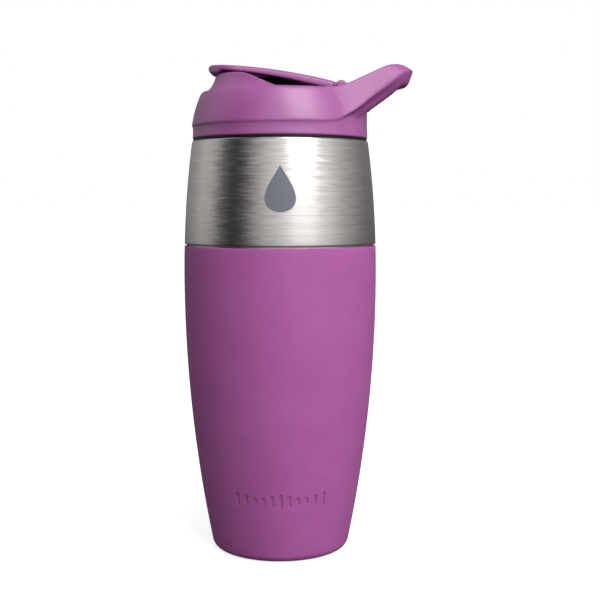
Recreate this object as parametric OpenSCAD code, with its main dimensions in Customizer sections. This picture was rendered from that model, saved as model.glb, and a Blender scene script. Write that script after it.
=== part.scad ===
// Insulated protein shaker bottle: steel vacuum flask in a soft sleeve, and a screw lid with a flip cap.
// Origin: centre of the flat underside. +Z is up, the carry loop points along +X.

/* [Bottle] */
// Largest outside diameter
body_d = 94; // [90:1:114]
// Outside diameter of the steel at the mouth
mouth_d = 85.4; // [78:0.2:90]
// Diameter that the flanks would reach at the floor
base_d = 66.3; // [58:0.1:76]
// Height of the steel rim
body_h = 199.7; // [185:0.1:245]
// Height of the largest diameter
belly_z = 134.7; // [110:0.1:150]
// Radius of the rounded foot
foot_fillet = 4.5; // [2:0.1:8]

/* [Sleeve] */
// Height of the sleeve's top edge
sleeve_h = 149.4; // [120:0.1:160]
// Wall of the sleeve
sleeve_t = 2.2; // [1.4:0.1:3.2]
// Floor of the sleeve
sleeve_floor = 2.5; // [1.8:0.1:4]
// Groove between the sleeve and the steel band
sleeve_groove = 0.6; // [0.3:0.1:1.5]

/* [Steel flask] */
// Sheet thickness of the outer shell
shell_t = 0.8; // [0.5:0.1:1.2]
// Sheet thickness of the liner
liner_t = 0.7; // [0.5:0.1:1]
// Vacuum gap between shell and liner
vacuum_gap = 2.6; // [2:0.1:4]
// Width of the flat rim between mouth and outside
rim_w = 4.2; // [3.6:0.1:6]
// Height of the straight neck above its blend
neck_h = 14; // [13:0.5:20]
// Radius of the liner's bottom corner
liner_fillet = 9; // [5:0.5:14]

/* [Screw thread] */
// Rise of the thread in one turn
thread_lead = 8; // [6:0.5:10]
// Number of thread starts
thread_starts = 2; // [1:1:2]
// Height of a ridge above its wall
ridge_h = 1.4; // [1:0.1:1.6]
// Width of a ridge where it meets its wall
ridge_root = 1.6; // [1.2:0.1:1.8]
// Width of a ridge at its crest
ridge_crest = 0.8; // [0.5:0.1:1]
// Radial gap between a crest and the wall that it runs along
ridge_gap = 0.45; // [0.3:0.05:0.6]
// Turns of each ridge
ridge_turns = 0.85; // [0.5:0.05:1]

/* [Lid] */
// Thickness of the gasket that parts the lid from the steel
gasket_t = 1; // [0.6:0.1:2]
// Height of the crease above the lid's lower edge
crease_h = 6.3; // [5:0.1:8]
// Height of the rim above the lid's lower edge
lid_h = 22.7; // [20:0.1:28]
// How far the rim leans in from the crease
lid_lean = 4.7; // [3:0.1:6]
// Thickness of the wall at the rim
lid_rim_w = 3.6; // [3:0.1:5]
// Wall round the plug's flange
lid_skirt_t = 2.6; // [2:0.1:3.2]
// Height of the spout collar above the rim
collar_h = 7.6; // [6:0.1:10]
// Slope of the collar's ridge, rise over run
collar_slope = 0.49; // [0.35:0.01:0.7]

/* [Carry loop] */
// Reach of the loop's tip past the lid's wall
loop_reach = 22.4; // [19:0.1:28]
// Outside radius of the loop's tip
loop_tip_r = 16.7; // [14:0.1:20]
// Rise of the lower edge, rise over run
loop_rise = 0.73; // [0.5:0.01:0.8]
// Rise of the upper edge, rise over run
loop_top_rise = 0.54; // [0.4:0.01:0.6]
// Height of the loop's top above the lid's lower edge
loop_top = 35.9; // [32:0.1:40]
// Height at which the loop's lower edge levels out, above the lid's lower edge
loop_level = 30.6; // [27:0.1:33]
// Thickness of the loop's strap
loop_t = 4.8; // [4:0.1:6]

/* [Plug] */
// Depth that the plug reaches into the mouth
plug_depth = 11.5; // [10:0.1:14]
// Wall of the plug's skirt
plug_t = 2.2; // [1.8:0.1:3]
// Height of the deck above the lid's lower edge
deck_h = 10.3; // [8:0.1:13]
// Thickness of the deck
deck_t = 2.4; // [1.8:0.1:3.2]
// Inside diameter of the spout tube
spout_d = 18; // [14:0.5:20]
// Wall of the spout tube
spout_t = 2; // [1.4:0.1:2.6]
// Height of the spout tube's lip above the lid's rim
spout_h = 4.6; // [2.5:0.1:5]

/* [Flip cap] */
// Width of the cap
cap_w = 30; // [26:0.5:34]
// Thickness of the cap at its tip
cap_t = 2.4; // [2:0.1:3.2]
// Extra thickness at the hinge end
cap_taper = 2; // [1:0.1:3]
// Overhang of the thumb tab past the collar
tab_reach = 4.7; // [3:0.1:7]
// Diameter of the hinge pin
pin_d = 2; // [1.6:0.1:2.4]
// Diameter of the hinge barrel
barrel_d = 5.2; // [4.8:0.1:6]
// Length of the hinge barrel
barrel_l = 17; // [12:0.5:19]
// Width of each hinge lug
lug_w = 3; // [2:0.1:4]

/* [Mixing grid] */
// Depth of the grid's basket below the plug
grid_depth = 16; // [10:0.5:24]
// Width of one grid bar
bar_w = 1.8; // [1.2:0.1:2.4]
// Distance between grid bars
bar_pitch = 8.6; // [6:0.1:11]

/* [Clearances] */
// Gap between pieces that are glued, welded or snapped together
seat_gap = 0.05; // [0.02:0.01:0.1]
// Gap between pieces that slide or turn past each other
move_gap = 0.3; // [0.2:0.05:0.5]
// Radial clearance of the hinge pin in the cap
pin_gap = 0.05; // [0.02:0.01:0.1]

/* [Hidden] */
$fn = 96;

// Flanks: two arcs that meet upright at the belly
body_r = body_d / 2;
mouth_r = mouth_d / 2;
low_sag = body_r - base_d / 2;
low_rho = (pow(belly_z, 2) + pow(low_sag, 2)) / (2 * low_sag);
high_sag = body_r - mouth_r;
high_rho = (pow(body_h - belly_z, 2) + pow(high_sag, 2)) / (2 * high_sag);

function flank_r(z) =
    let (rho = z < belly_z ? low_rho : high_rho)
    body_r - rho + sqrt(pow(rho, 2) - pow(z - belly_z, 2));

function flank_lean(z) = asin((belly_z - z) / low_rho);

function flank(z_from, z_to, inset, steps = 16) =
    [for (i = [0:steps]) let (z = z_from + (z_to - z_from) * i / steps) [flank_r(z) - inset, z]];

function arc(x, z, r, from, to, steps = 8) =
    [for (i = [0:steps]) let (a = from + (to - from) * i / steps) [x + r * cos(a), z + r * sin(a)]];

// Rounded corner between a flat floor at height z and the flank at the given inset
function foot(z, inset, r) =
    let (
        lean = flank_lean(z),
        touch = z + r * (1 - sin(lean)),
        centre = flank_r(touch) - inset - r * cos(lean)
    )
    arc(centre, z + r, r, -90, -lean);

function foot_top(z, r) = z + r * (1 - sin(flank_lean(z)));

function reversed(points) = [for (i = [len(points) - 1:-1:0]) points[i]];

// A corner that rounds off at one end of a slope: 0 well below zero, u well above it
function soft(u, k) = (u + sqrt(u * u + k * k)) / 2;

// Steel flask
band_z = sleeve_h + sleeve_groove;
shell_inset = sleeve_t + seat_gap;
shell_floor = sleeve_floor + seat_gap;
bead_r = shell_t;
liner_r = mouth_r - rim_w;
liner_inset = shell_inset + shell_t + vacuum_gap;
pan_t = shell_t;
pan_rim = 5;
dimple_r = 6;
dimple_h = 1.6;
liner_floor = shell_floor + pan_t + dimple_h + vacuum_gap;
getter_x = 14;
getter_r = 4;
getter_t = 1.2;
getter_z = liner_floor - seat_gap - getter_t;
neck_z = body_h - neck_h;
neck_blend = 10;
flare_z = neck_z - neck_blend;

// Lid heights and radii
lid_z = body_h + gasket_t;
crease_z = lid_z + crease_h;
rim_z = lid_z + lid_h;
lid_r = mouth_r - 0.2;
rim_r = lid_r - lid_lean;
well_r = rim_r - lid_rim_w;
skirt_bore = lid_r - lid_skirt_t;
skirt_top = crease_z - 0.7;
crease_flare = 0.25;
wall_bulge_r = 52;
shoulder_h = 1.6;

// Spout collar: a concave flare whose top follows a slope up from the rim
collar_r = rim_r - 7.9;
collar_flare = 5.6;
collar_decay = 5;
collar_t = 2.3;
collar_top = rim_z + collar_h;
collar_foot_x = -2.4;

// Loop: a strap between an upper and a lower edge, each a teardrop in plan
loop_start_x = lid_r - 14.8;
loop_tip_x = lid_r + loop_reach - loop_tip_r;
loop_top_tip_r = loop_tip_r - 0.5;
loop_top_tip_x = loop_tip_x - 4.4;
loop_top_bend = 1.5;
loop_level_bend = 1.2;
loop_chin = 2.2;
loop_chin_in = 2.4;
loop_lift = 1.3;
loop_tip_lift = 1.2;
loop_tip_chin = 4.2;
loop_keel = 6;
loop_keel_in = 4.2;
loop_blend = 5;
loop_sink = 0.3;
loop_rings = 52;
loop_wrap = 14;

// Screw thread
plug_r = liner_r - ridge_gap - ridge_h;
thread_pitch = thread_lead / thread_starts;
plug_floor = body_h - plug_depth;
thread_low = plug_floor + ridge_root;
ridge_segments = 48;

// Plug, deck and spout
deck_z = lid_z + deck_h;
flange_r = skirt_bore - seat_gap;
flange_top = skirt_top - seat_gap;
deck_r = well_r - seat_gap;
spout_r = spout_d / 2;
spout_x = -(collar_r - collar_t - spout_r - spout_t - 1);
spout_z = rim_z + spout_h;
vent_x = 8;
vent_r = 1.6;
vent_cap_r = 4.2;
vent_cap_t = 0.9;

// Flip cap
hinge_x = well_r - 4.9;
hinge_z = rim_z + 2.4;
pin_r = pin_d / 2;
barrel_r = barrel_d / 2;
pin_l = barrel_l + 2 * (move_gap + lug_w);
lug_y = barrel_l / 2 + move_gap;
tab_x = -(collar_r + tab_reach);
cap_back_x = hinge_x + 3;
cap_rise = 4.6;
cap_top_z = collar_top + cap_rise;
cap_start_slope = 0.035;
cap_bend = 0.00196;
cap_flat = 6;
cap_nose_drop = 1.2;
cap_nose = 0.03;
cap_steps = 20;
cap_clear = 0.35;
rib_y = 5;
rib_w = 1.6;
wedge_end_x = hinge_x - barrel_r - 1;
seal_t = 1.4;
seal_low = spout_z + move_gap;
seal_plug_h = 2.4;
carrier_r = spout_r + spout_t + 0.8;
rib_from_x = spout_x + carrier_r + 0.4;
rib_l = hinge_x - 12.3 - rib_from_x;
rib_low = rim_z + 3.1;
rib_sink = 1.2;
rib_steps = 8;

// Mixing grid
grid_r = plug_r - plug_t - 0.25;
grid_flange = plug_r - 0.6;
grid_wall = 2;
grid_seat = 5;
grid_top = plug_floor - seat_gap;
grid_low = grid_top - grid_depth;
basket_r = grid_r - 0.8;

// Height of the cap's upper face at a distance from the tip end of its curve
function cap_upper(x) =
    let (s = x - tab_x - cap_flat)
    cap_top_z - (s < 0 ? 0 : cap_start_slope * s + cap_bend * s * s);

function cap_lower(x) =
    cap_upper(x) - cap_t - cap_taper * (x - tab_x) / (cap_back_x - tab_x);

// Outside radius of the collar's flare at a height
function collar_at(z) = collar_r + collar_flare * exp(-(z - rim_z + 0.3) / collar_decay);

// A point on a teardrop outline: s runs from -1 to 1 and is 0 at the tip
function teardrop(big_r, tip_x, tip_r, s) =
    let (
        spread = 90 - asin((big_r - tip_r) / tip_x),
        a = abs(s),
        side = s < 0 ? -1 : 1,
        tip_touch = [tip_x + tip_r * cos(spread), tip_r * sin(spread)],
        big_touch = [big_r * cos(spread), big_r * sin(spread)],
        along = (a - 0.45) / 0.45,
        turn = spread + (a - 0.9) / 0.1 * loop_wrap,
        p = a < 0.45 ? [tip_x + tip_r * cos(spread * a / 0.45), tip_r * sin(spread * a / 0.45)]
          : a < 0.9 ? tip_touch + (big_touch - tip_touch) * along
          : [big_r * cos(turn), big_r * sin(turn)]
    )
    [p[0], side * p[1]];

function lower_edge_z(x) =
    let (free = crease_z + loop_rise * soft(x - loop_start_x, loop_blend), level = lid_z + loop_level)
    level - soft(level - free, loop_level_bend);

function upper_edge_z(x) =
    let (free = rim_z + loop_top_rise * soft(x - loop_start_x, loop_blend), top = lid_z + loop_top)
    top - soft(top - free, loop_top_bend) - loop_sink;

function smooth(u) = let (c = min(max(u, 0), 1)) c * c * (3 - 2 * c);

// Six corners of the strap's section at one place along the loop; its inner side hangs lower
function loop_section(s) =
    let (
        low_r = lid_r - loop_sink,
        top_r = rim_r - loop_sink,
        low = teardrop(low_r, loop_tip_x, loop_tip_r, s),
        to_tip = smooth((low[0] - loop_tip_x) / loop_tip_r),
        chin = teardrop(low_r - loop_chin_in, loop_tip_x, loop_tip_r - loop_chin_in, s),
        keel = teardrop(low_r - loop_keel_in, loop_tip_x, loop_tip_r - loop_keel_in, s),
        inner = teardrop(low_r - loop_t - 1, loop_tip_x - 1, loop_tip_r - loop_t - 1, s),
        top = teardrop(top_r, loop_top_tip_x, loop_top_tip_r, s),
        top_in = teardrop(top_r - loop_t + 2, loop_top_tip_x, loop_top_tip_r - loop_t + 1, s),
        chin_drop = loop_chin + (loop_tip_chin - loop_chin) * to_tip,
        begin = smooth((low[0] - 20) / 20),
        edge_z = lower_edge_z(low[0])
    )
    [
        [top[0], top[1], upper_edge_z(top[0])],
        [low[0], low[1], edge_z + loop_lift * smooth((low[0] - 34) / 12) + loop_tip_lift * to_tip],
        [chin[0], chin[1], edge_z - chin_drop * begin + loop_sink],
        [keel[0], keel[1], edge_z - loop_keel * begin + loop_sink],
        [inner[0], inner[1], edge_z - (loop_keel - 1.5) * begin + 2 * loop_sink],
        [top_in[0], top_in[1], upper_edge_z(top_in[0]) - 0.6]
    ];

// A closed tube from a list of rings that all have the same number of corners
module skin(rings) {
    n = len(rings[0]);
    last = len(rings) - 1;
    points = [for (ring = rings) for (p = ring) p];
    sides = [
        for (i = [0:last - 1]) for (j = [0:n - 1])
            let (k = (j + 1) % n)
            each [[i * n + j, (i + 1) * n + j, (i + 1) * n + k], [i * n + j, (i + 1) * n + k, i * n + k]]
    ];
    first_cap = [for (j = [0:n - 1]) j];
    last_cap = [for (j = [n - 1:-1:0]) last * n + j];
    polyhedron(points, concat(sides, [first_cap, last_cap]), convexity = 6);
}

// One thread ridge; root_r is its wall's radius and crest_r may be larger or smaller
module ridge(root_r, crest_r, low_z) {
    steps = ceil(ridge_segments * ridge_turns);
    fade_steps = 3;
    sunk = 0.3;
    sunk_r = root_r - sunk * sign(crest_r - root_r);
    rings = [
        for (i = [0:steps])
            let (
                turn = 360 * i / ridge_segments,
                z = low_z + thread_lead * i / ridge_segments,
                fade = smooth(min(i, steps - i) / fade_steps),
                top_r = root_r + (crest_r - root_r) * max(fade, 0.1),
                c = cos(turn),
                s = sin(turn)
            )
            [
                [sunk_r * c, sunk_r * s, z - ridge_root / 2],
                [top_r * c, top_r * s, z - ridge_crest / 2],
                [top_r * c, top_r * s, z + ridge_crest / 2],
                [sunk_r * c, sunk_r * s, z + ridge_root / 2]
            ]
    ];
    skin(crest_r > root_r ? [for (ring = rings) reversed(ring)] : rings);
}

module ridges(root_r, crest_r, low_z) {
    for (i = [0:thread_starts - 1])
        rotate([0, 0, 360 * i / thread_starts])
            ridge(root_r, crest_r, low_z);
}

// Soft sleeve that also wraps the foot; its floor carries a shallow ring groove
module grip_sleeve() {
    lip_r = 0.5;
    groove_r = 21;
    groove_w = 2.4;
    groove_deep = 0.6;
    top_r = flank_r(sleeve_h);
    color("mediumorchid")
    difference() {
        rotate_extrude()
            polygon(concat(
                [[0, 0]],
                foot(0, 0, foot_fillet),
                flank(foot_top(0, foot_fillet), sleeve_h - lip_r, 0, 28),
                arc(top_r - lip_r, sleeve_h - lip_r, lip_r, 15, 90, 4),
                reversed(flank(foot_top(sleeve_floor, foot_fillet), sleeve_h, sleeve_t, 28)),
                reversed(foot(sleeve_floor, sleeve_t, foot_fillet)),
                [[0, sleeve_floor]]
            ));
        translate([0, 0, -groove_deep])
            difference() {
                cylinder(r = groove_r + groove_w / 2, h = 2 * groove_deep);
                cylinder(r = groove_r - groove_w / 2, h = 2 * groove_deep);
            }
    }
}

// Outer steel wall: the bare band with its rolled lower edge, and the part that the sleeve covers
module outer_shell() {
    band_r = flank_r(band_z + bead_r);
    inner_inset = shell_inset + shell_t;
    wall_low = shell_floor + foot_fillet + 1;
    color("silver")
    rotate_extrude()
        polygon(concat(
            flank(wall_low, sleeve_h + 0.1, shell_inset, 24),
            [[flank_r(band_z) - shell_inset, band_z]],
            arc(band_r - bead_r, band_z + bead_r, bead_r, -90, 0, 6),
            flank(band_z + 2 * bead_r, body_h - bead_r, 0, 14),
            arc(mouth_r - bead_r, body_h - bead_r, bead_r, 0, 90, 4),
            [[liner_r + liner_t + seat_gap, body_h], [liner_r + liner_t + seat_gap, body_h - shell_t]],
            reversed(flank(band_z + 2 * bead_r, body_h - shell_t, shell_t, 14)),
            [[flank_r(band_z) - inner_inset, band_z + shell_t]],
            reversed(flank(wall_low, sleeve_h + 0.1, inner_inset, 24))
        ));
}

// Straight neck, blend and belly of the liner's inner face, moved outwards by grow
function liner_face(grow) =
    let (
        floor_z = liner_floor + liner_t - grow,
        inset = liner_inset + liner_t - grow,
        corner = liner_fillet + grow
    )
    concat(
        foot(floor_z, inset, corner),
        flank(foot_top(floor_z, corner), flare_z, inset, 24),
        [[liner_r + grow, neck_z]]
    );

// Inner steel vessel with the female thread in its neck
module inner_liner() {
    color("lightsteelblue") {
        rotate_extrude()
            polygon(concat(
                [[0, liner_floor]],
                liner_face(liner_t),
                [[liner_r + liner_t, body_h], [liner_r, body_h]],
                reversed(liner_face(0)),
                [[0, liner_floor + liner_t]]
            ));
        ridges(liner_r, liner_r - ridge_h, thread_low + thread_pitch / 2);
    }
}

// Pressed pan that closes the outer shell, with a dimple for the vacuum port
module shell_base() {
    wall_in = shell_inset + shell_t + seat_gap;
    rim_top = shell_floor + foot_fillet + pan_rim;
    dimple_top = shell_floor + dimple_h;
    port_r = 1.2;
    color("gray")
    rotate_extrude()
        polygon(concat(
            [[port_r, dimple_top], [dimple_r - 1, dimple_top], [dimple_r, shell_floor]],
            foot(shell_floor, wall_in, foot_fillet),
            [[flank_r(rim_top) - wall_in, rim_top], [flank_r(rim_top) - wall_in - pan_t, rim_top]],
            reversed(foot(shell_floor + pan_t, wall_in + pan_t, foot_fillet)),
            [
                [dimple_r + pan_t, shell_floor + pan_t],
                [dimple_r - 1 + pan_t, dimple_top + pan_t],
                [port_r, dimple_top + pan_t]
            ]
        ));
}

// Bead of sealing glass that closes the vacuum port
module vacuum_seal() {
    bead = dimple_r - 2.4;
    color("darkslategray")
    translate([0, 0, shell_floor + dimple_h - seat_gap])
        mirror([0, 0, 1])
            cylinder(r1 = bead, r2 = bead - 1, h = 1);
}

// Getter pill that keeps the vacuum, in the gap under the liner
module getter() {
    color("dimgray")
    translate([getter_x, 0, getter_z])
        cylinder(r = getter_r, h = getter_t);
}

// Spot-welded strap that holds the getter against the liner
module getter_clip() {
    strap_l = 2 * getter_r + 5;
    strap_w = 3;
    strap_t = 0.3;
    foot_l = 2;
    color("darkgray")
    translate([getter_x, 0, 0]) {
        translate([-strap_l / 2, -strap_w / 2, getter_z - seat_gap - strap_t])
            cube([strap_l, strap_w, strap_t]);
        for (side = [-1, 1])
            translate([side * (strap_l / 2 - strap_t / 2), 0, 0]) {
                translate([-strap_t / 2, -strap_w / 2, getter_z - seat_gap - strap_t])
                    cube([strap_t, strap_w, getter_t + strap_t + seat_gap]);
                translate([-foot_l / 2, -strap_w / 2, liner_floor - seat_gap - strap_t])
                    cube([foot_l, strap_w, strap_t]);
            }
    }
}

// Flat silicone ring that shows as the dark line between lid and steel
module lid_gasket() {
    color("black")
    translate([0, 0, body_h + seat_gap])
        difference() {
            cylinder(r = lid_r - 0.3, h = gasket_t - 2 * seat_gap);
            translate([0, 0, -1])
                cylinder(r = liner_r + 0.3, h = gasket_t + 2);
        }
}

// Outside of the lid's wall between the crease and the shoulder, as an arc that bulges
function lid_wall() =
    let (
        low = [lid_r + crease_flare, crease_z],
        high = [rim_r + 0.7, rim_z - shoulder_h],
        chord = norm(high - low),
        middle = (low + high) / 2,
        inward = [low[1] - high[1], high[0] - low[0]] / chord,
        centre = middle + inward * sqrt(pow(wall_bulge_r, 2) - pow(chord / 2, 2)),
        from = atan2(low[1] - centre[1], low[0] - centre[0]),
        to = atan2(high[1] - centre[1], high[0] - centre[0])
    )
    arc(centre[0], centre[1], wall_bulge_r, from, to, 10);

module lid_wall_solid() {
    rotate_extrude()
        polygon(concat(
            [[skirt_bore, lid_z], [lid_r - 0.3, lid_z], [lid_r, lid_z + 0.3]],
            lid_wall(),
            [[rim_r, rim_z - 0.6], [collar_at(rim_z), rim_z]],
            [[well_r, rim_z], [well_r, skirt_top], [skirt_bore, skirt_top]]
        ));
}

module spout_collar() {
    steps = 12;
    low = rim_z - 3;
    outer = [for (i = [0:steps]) let (z = rim_z - 0.3 + (collar_h + 0.3) * i / steps) [collar_at(z), z]];
    inner = [for (p = reversed(outer)) [p[0] - collar_t, p[1]]];
    ridge_x = collar_foot_x - collar_h / collar_slope;
    root = [[well_r - 0.2, low], [well_r + 1, low], [well_r + 1, rim_z - 0.3]];
    intersection() {
        rotate_extrude()
            polygon(concat(root, outer, inner));
        rotate([90, 0, 0])
            linear_extrude(height = 4 * lid_r, center = true)
                polygon([
                    [-2 * lid_r, low - 1], [collar_foot_x, low - 1], [collar_foot_x, rim_z],
                    [ridge_x + 3, collar_top - 3 * collar_slope], [ridge_x - 3, collar_top],
                    [-2 * lid_r, collar_top]
                ]);
    }
}

module hinge_lugs() {
    leg_h = barrel_r + 3;
    leg_l = well_r - hinge_x + 1.5;
    for (side = [-1, 1])
        translate([hinge_x, side * (lug_y + lug_w / 2), hinge_z])
            rotate([90, 0, 0]) {
                cylinder(r = barrel_r, h = lug_w, center = true);
                translate([0, -leg_h, -lug_w / 2])
                    cube([leg_l, leg_h, lug_w]);
            }
}

// Lid moulding: skirt, leaning wall, spout collar, hinge lugs and carry loop in one piece
module lid_shell() {
    color("orchid")
    difference() {
        union() {
            lid_wall_solid();
            spout_collar();
            hinge_lugs();
            skin([for (i = [0:loop_rings]) loop_section(2 * i / loop_rings - 1)]);
        }
        translate([hinge_x, 0, hinge_z])
            rotate([90, 0, 0])
                cylinder(r = pin_r, h = pin_l + 2, center = true);
    }
}

// Threaded plug with the deck and the spout tube
module lid_plug() {
    color("dimgray")
    difference() {
        union() {
            translate([0, 0, plug_floor])
                cylinder(r = plug_r, h = lid_z - plug_floor + 1);
            translate([0, 0, lid_z + seat_gap])
                cylinder(r = flange_r, h = flange_top - lid_z - seat_gap);
            translate([0, 0, lid_z + 1])
                cylinder(r = deck_r, h = deck_z - lid_z - 1);
            translate([spout_x, 0, deck_z - 1])
                cylinder(r = spout_r + spout_t, h = spout_z - deck_z + 1);
            ridges(plug_r, plug_r + ridge_h, thread_low);
        }
        translate([0, 0, plug_floor - 1])
            cylinder(r = plug_r - plug_t, h = lid_z + deck_t - plug_floor + 1);
        translate([0, 0, lid_z])
            cylinder(r = deck_r - plug_t, h = deck_z - deck_t - lid_z);
        translate([spout_x, 0, deck_z - deck_t - 1])
            cylinder(r = spout_r, h = spout_z - deck_z + deck_t + 2);
        translate([vent_x, 0, deck_z - deck_t - 1])
            cylinder(r = vent_r, h = deck_t + 2);
    }
}

// Umbrella valve that lets air in as the drink flows out
module vent_valve() {
    stem_r = vent_r - 0.1;
    color("black")
    translate([vent_x, 0, deck_z - deck_t - seat_gap - vent_cap_t]) {
        cylinder(r = vent_cap_r, h = vent_cap_t);
        cylinder(r = stem_r, h = deck_t + vent_cap_t + 2 * seat_gap + 0.5);
        translate([0, 0, deck_t + vent_cap_t + 2 * seat_gap])
            cylinder(r = vent_r + 0.7, h = 0.8);
    }
}

module hinge_pin() {
    color("silver")
    translate([hinge_x, 0, hinge_z])
        rotate([90, 0, 0])
            cylinder(r = pin_r, h = pin_l, center = true);
}

// Side outline of the cap: a long bow on top, and a wedge that thickens towards the hinge
module cap_side() {
    span = cap_back_x - tab_x;
    under = hinge_x - 3 - tab_x;
    function upper_x(i) = tab_x + span * (cap_nose + (1 - cap_nose) * i / cap_steps);
    function lower_x(i) = wedge_end_x - under * i / cap_steps;
    polygon(concat(
        [[tab_x, cap_upper(tab_x) - cap_nose_drop]],
        [for (i = [0:cap_steps]) [upper_x(i), cap_upper(upper_x(i))]],
        [[cap_back_x, hinge_z], [hinge_x, hinge_z]],
        [for (i = [0:cap_steps - 3]) [lower_x(i), cap_lower(lower_x(i))]],
        [[-collar_r - 0.4, collar_top + cap_clear]]
    ));
}

module cap_plan() {
    half = cap_w / 2;
    union() {
        translate([tab_x + half, 0])
            circle(r = half);
        translate([tab_x + half, -half])
            square([wedge_end_x - 0.5 - tab_x - half, cap_w]);
        translate([tab_x + half, -barrel_l / 2])
            square([cap_back_x - tab_x - half, barrel_l]);
    }
}

// Stiffening ribs under the plate, between the spout seal's carrier and the hinge
module cap_ribs() {
    x = [for (i = [0:rib_steps]) rib_from_x + rib_l * i / rib_steps];
    top = [for (i = [rib_steps:-1:0]) [x[i], cap_upper(x[i]) - rib_sink]];
    for (side = [-1, 1])
        translate([0, side * rib_y, 0])
            rotate([90, 0, 0])
                linear_extrude(height = rib_w, center = true)
                    polygon(concat([[x[0], rib_low], [x[rib_steps], rib_low]], top));
}

// Flip cap with its thumb tab, hinge barrel and the carrier of the spout seal
module flip_cap() {
    carrier_low = seal_low + seal_t + seat_gap;
    color("orchid")
    difference() {
        union() {
            intersection() {
                rotate([90, 0, 0])
                    linear_extrude(height = cap_w + 2, center = true)
                        cap_side();
                translate([0, 0, rim_z - 5])
                    linear_extrude(height = 30)
                        cap_plan();
            }
            cap_ribs();
            translate([hinge_x, 0, hinge_z])
                rotate([90, 0, 0])
                    cylinder(r = barrel_r, h = barrel_l, center = true);
            translate([spout_x, 0, carrier_low])
                cylinder(r = carrier_r, h = cap_upper(spout_x + carrier_r) - 1 - carrier_low);
        }
        translate([hinge_x, 0, hinge_z])
            rotate([90, 0, 0])
                cylinder(r = pin_r + pin_gap, h = pin_l, center = true);
    }
}

// Silicone stopper that the cap presses into the spout tube
module spout_seal() {
    color("black")
    translate([spout_x, 0, seal_low]) {
        cylinder(r = spout_r + spout_t, h = seal_t);
        translate([0, 0, -seal_plug_h])
            cylinder(r1 = spout_r - 1.2, r2 = spout_r - move_gap, h = seal_plug_h + 0.1);
    }
}

// Snap-in basket whose bars break up the powder
module mixing_grid() {
    bars = floor((basket_r - bar_w) / bar_pitch);
    legs = 6;
    color("whitesmoke") {
        rotate_extrude()
            polygon([
                [grid_r - grid_wall, grid_top - 2], [grid_flange, grid_top - 2], [grid_flange, grid_top],
                [grid_r, grid_top], [grid_r, grid_top + grid_seat], [grid_r - grid_wall, grid_top + grid_seat]
            ]);
        for (i = [0:legs - 1])
            rotate([0, 0, 360 * (i + 0.5) / legs])
                translate([basket_r - grid_wall, -2, grid_low])
                    cube([grid_wall, 4, grid_depth + 1]);
        difference() {
            translate([0, 0, grid_low])
                cylinder(r = basket_r, h = grid_wall);
            translate([0, 0, grid_low - 1])
                cylinder(r = basket_r - grid_wall, h = grid_wall + 2);
        }
        intersection() {
            translate([0, 0, grid_low])
                cylinder(r = basket_r - 0.5, h = grid_wall);
            for (turn = [0, 90])
                rotate([0, 0, turn])
                    for (i = [-bars:bars])
                        translate([-basket_r, i * bar_pitch - bar_w / 2, grid_low])
                            cube([2 * basket_r, bar_w, grid_wall]);
        }
    }
}

grip_sleeve();
outer_shell();
inner_liner();
shell_base();
vacuum_seal();
getter();
getter_clip();
lid_gasket();
lid_shell();
lid_plug();
vent_valve();
hinge_pin();
flip_cap();
spout_seal();
mixing_grid();
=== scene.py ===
# %% [markdown]
# # An insulated shaker bottle, piece by piece
# The bottle is a double-walled steel flask in a soft purple sleeve, with a screw lid that
# carries a flip cap, a spout and a carry loop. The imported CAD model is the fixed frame: every
# piece made here takes its place from it, rides on one of its bodies, and stands for one of its
# nodes. Lengths are worked out in millimetres and turned to metres when a mesh is finished.

# %% Load the frame
import math
import bmesh
import bpy
from mathutils import Matrix, Vector


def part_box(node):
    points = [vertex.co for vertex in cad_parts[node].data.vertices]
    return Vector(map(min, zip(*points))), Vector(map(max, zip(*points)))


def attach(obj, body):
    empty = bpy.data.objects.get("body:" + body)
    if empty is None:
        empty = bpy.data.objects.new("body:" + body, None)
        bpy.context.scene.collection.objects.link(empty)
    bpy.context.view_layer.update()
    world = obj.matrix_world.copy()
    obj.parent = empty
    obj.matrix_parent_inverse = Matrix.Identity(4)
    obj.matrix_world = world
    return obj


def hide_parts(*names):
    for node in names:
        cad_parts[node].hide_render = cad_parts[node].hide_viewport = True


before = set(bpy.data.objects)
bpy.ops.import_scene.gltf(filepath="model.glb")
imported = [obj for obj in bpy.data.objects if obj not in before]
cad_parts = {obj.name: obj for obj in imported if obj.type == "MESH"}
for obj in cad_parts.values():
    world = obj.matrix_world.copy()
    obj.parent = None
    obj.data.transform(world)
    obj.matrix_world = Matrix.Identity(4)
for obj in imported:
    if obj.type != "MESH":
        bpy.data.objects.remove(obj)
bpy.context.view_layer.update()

# %% [markdown]
# ## Sizes
# The driving sizes of the flask and the lid follow from those boxes, so that a changed CAD
# model changes the pieces too. What a box can't say, such as where the belly is, is a named
# value in millimetres.

# %% Sizes from the frame
MM = 0.001


def corners(node):
    low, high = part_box(node)
    return low / MM, high / MM


sleeve_low, sleeve_high = corners("grip_sleeve")
shell_low, shell_high = corners("outer_shell")
liner_low, liner_high = corners("inner_liner")
lid_low, lid_high = corners("lid_shell")
plug_low, plug_high = corners("lid_plug")
cap_low, cap_high = corners("flip_cap")
pin_low, pin_high = corners("hinge_pin")
seal_low, seal_high = corners("spout_seal")
valve_low, valve_high = corners("vent_valve")

body_r = 47.0
mouth_r = 42.7
base_r = 33.15
belly_z = 134.7
body_h = shell_high.z
sleeve_h = sleeve_high.z
sleeve_wall = 2.2
sleeve_floor = 2.5
groove = 0.6
sheet = 0.8
foot_fillet = 4.5

low_rho = (belly_z ** 2 + (body_r - base_r) ** 2) / (2 * (body_r - base_r))
high_rho = ((body_h - belly_z) ** 2 + (body_r - mouth_r) ** 2) / (2 * (body_r - mouth_r))


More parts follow.
